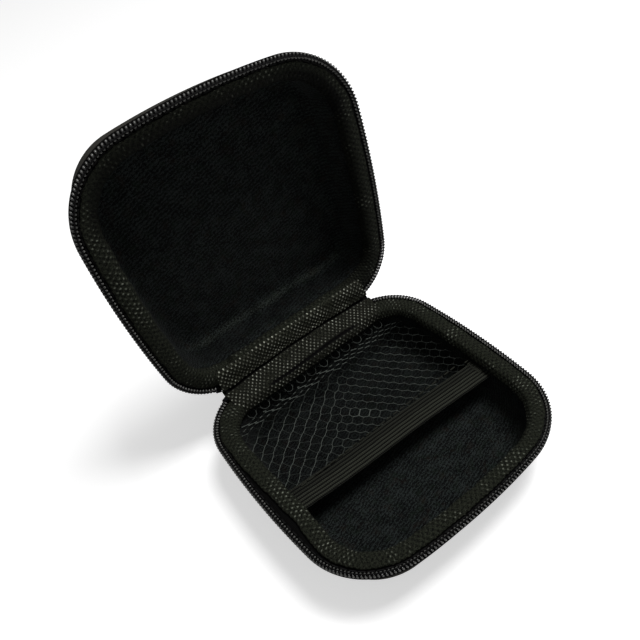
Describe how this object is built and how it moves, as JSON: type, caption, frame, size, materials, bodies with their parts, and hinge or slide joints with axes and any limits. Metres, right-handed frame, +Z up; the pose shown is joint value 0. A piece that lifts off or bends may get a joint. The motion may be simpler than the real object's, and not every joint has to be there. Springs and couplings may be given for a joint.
{
  "type": "earphone case",
  "caption": "Hard zip case for earphones, square with bowed sides: two moulded halves on a fabric hinge, coil zip round the rim, net pocket with an elastic edge inside.",
  "frame": {"origin": "Middle of the base's flat underside, on the surface that the case rests on.", "axes": "X runs along the hinge, +Y from the open front to the hinge at the back, +Z up."},
  "size_m": [0.09, 0.1127, 0.1099],
  "materials": {
    "cover_cloth": "fine-grained coated cloth, satin",
    "moulded_foam": "closed-cell foam, matt",
    "knitted_lining": "ribbed knit, satin sheen along the ribs",
    "embossed_binding": "embossed with staggered dots, matt",
    "zip_tape": "woven tape, matt",
    "zip_coil": "glossy nylon coil",
    "thread": "twisted sewing thread",
    "zip_metal": "black-plated, satin",
    "hinge_cloth": "plain cloth strip, matt",
    "net_thread": "knitted mesh, soft sheen",
    "elastic": "ribbed elastic, matt"
  },
  "bodies": {
    "base": {"base_outer_cover": "cover_cloth", "base_foam_shell": "moulded_foam", "base_lining": "knitted_lining", "base_rim_binding": "embossed_binding", "base_zip_tape": "zip_tape", "base_zip_coil": "zip_coil", "base_zip_end_stop": "zip_metal", "base_rim_stitching": "thread", "base_hinge_stitching": "thread", "hinge_outer_strip_base": "hinge_cloth", "hinge_inner_strip_base": "embossed_binding", "pocket_net": "net_thread", "pocket_elastic": "elastic", "pocket_stitching": "thread", "zip_tail_tape": "zip_tape", "zip_tail_coil": "zip_coil", "zip_bottom_stop": "zip_metal"},
    "lid": {"lid_outer_cover": "cover_cloth", "lid_foam_shell": "moulded_foam", "lid_lining": "knitted_lining", "lid_rim_binding": "embossed_binding", "lid_zip_tape": "zip_tape", "lid_zip_coil": "zip_coil", "lid_zip_end_stop": "zip_metal", "lid_rim_stitching": "thread", "lid_hinge_stitching": "thread", "hinge_outer_strip_lid": "hinge_cloth", "hinge_inner_strip_lid": "embossed_binding"},
    "slider": {"zip_slider_body": "zip_metal"},
    "pull": {"zip_pull_tab": "zip_metal"}
  },
  "joints": [
    {"name": "lid_hinge", "type": "hinge", "parent": "base", "child": "lid", "pos_m": [0, 0.045, 0.02], "axis": [-1, 0, 0], "range_deg": [-92, 88]},
    {"name": "zip_slider_slide", "type": "slide", "parent": "base", "child": "slider", "axis": [0.1489, 0.1906, 0.9703], "range_m": [0, 0.003]},
    {"name": "pull_tab_swing", "type": "hinge", "parent": "slider", "child": "pull", "pos_m": [0.03638, 0.04129, 0.00835], "axis": [-0.788, 0.6157, 0], "range_deg": [-110, 8]}
  ]
}
